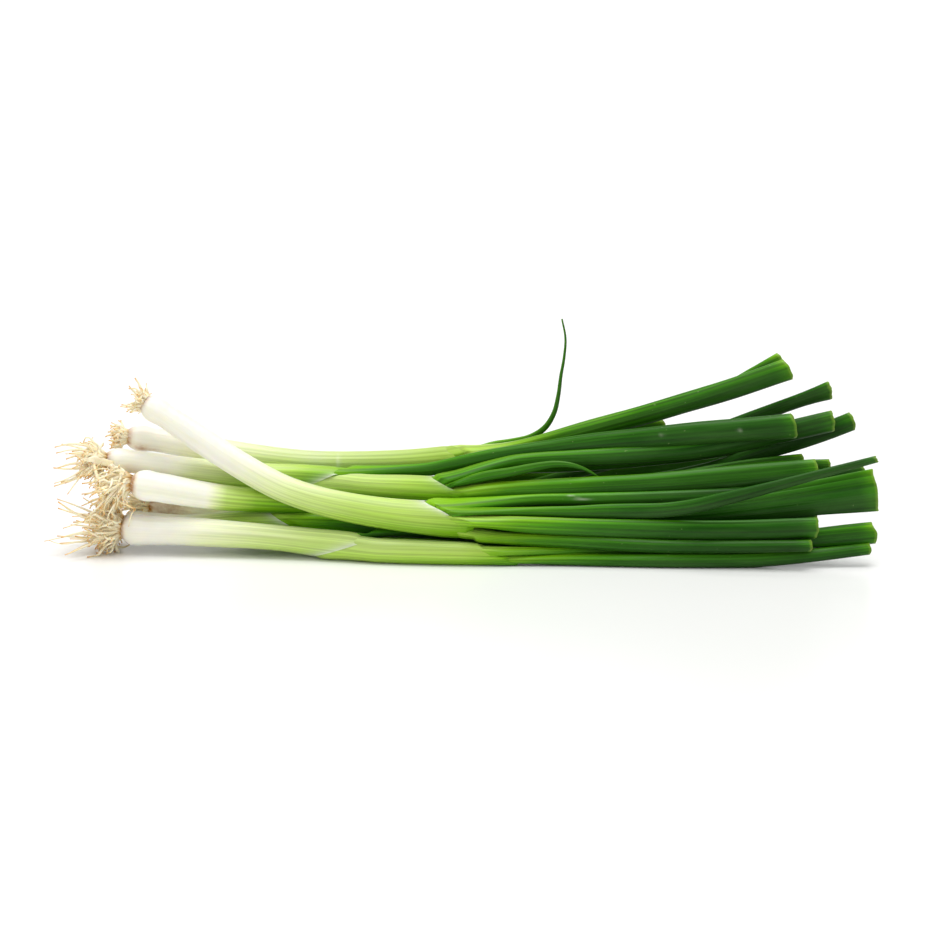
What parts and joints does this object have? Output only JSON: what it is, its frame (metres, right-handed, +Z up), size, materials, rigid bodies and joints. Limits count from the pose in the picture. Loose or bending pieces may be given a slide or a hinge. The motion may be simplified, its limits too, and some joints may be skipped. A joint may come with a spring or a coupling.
{
  "type": "spring onion bunch",
  "caption": "Loose heap of trimmed spring onions lying on their side, roots at one end and cut green leaves fanning out at the other.",
  "frame": {"origin": "middle of the heap's footprint, on the surface it lies on", "axes": "+X from the roots to the cut leaf ends, +Y to the back of the heap, +Z up"},
  "size_m": [0.358, 0.0656, 0.1014],
  "materials": {
    "shank": "smooth, slightly glossy, white turning lime green",
    "leaf": "waxy, satin, fine lengthwise stripes",
    "root": "dry and matte"
  },
  "bodies": {
    "root": {"onion_1_leaf_1": "leaf", "onion_1_leaf_2": "leaf", "onion_1_leaf_3": "leaf", "onion_1_leaf_4": "leaf", "onion_1_roots": "root", "onion_1_stem": "shank", "onion_2_leaf_1": "leaf", "onion_2_leaf_2": "leaf", "onion_2_leaf_3": "leaf", "onion_2_leaf_4": "leaf", "onion_2_leaf_5": "leaf", "onion_2_leaf_6": "leaf", "onion_2_roots": "root", "onion_2_stem": "shank", "onion_3_leaf_1": "leaf", "onion_3_leaf_2": "leaf", "onion_3_leaf_3": "leaf", "onion_3_leaf_4": "leaf", "onion_3_neck": "shank", "onion_3_roots": "root", "onion_3_stem": "shank", "onion_4_leaf_1": "leaf", "onion_4_leaf_2": "leaf", "onion_4_leaf_3": "leaf", "onion_4_roots": "root", "onion_4_stem": "shank", "onion_5_leaf_1": "leaf", "onion_5_leaf_2": "leaf", "onion_5_leaf_3": "leaf", "onion_5_roots": "root", "onion_5_stem": "shank", "onion_6_leaf_1": "leaf", "onion_6_leaf_2": "leaf", "onion_6_leaf_3": "leaf", "onion_6_neck": "shank", "onion_6_roots": "root", "onion_6_stem": "shank", "onion_7_leaf_1": "leaf", "onion_7_leaf_2": "leaf", "onion_7_leaf_3": "leaf", "onion_7_neck": "shank", "onion_7_roots": "root", "onion_7_stem": "shank"}
  },
  "joints": []
}
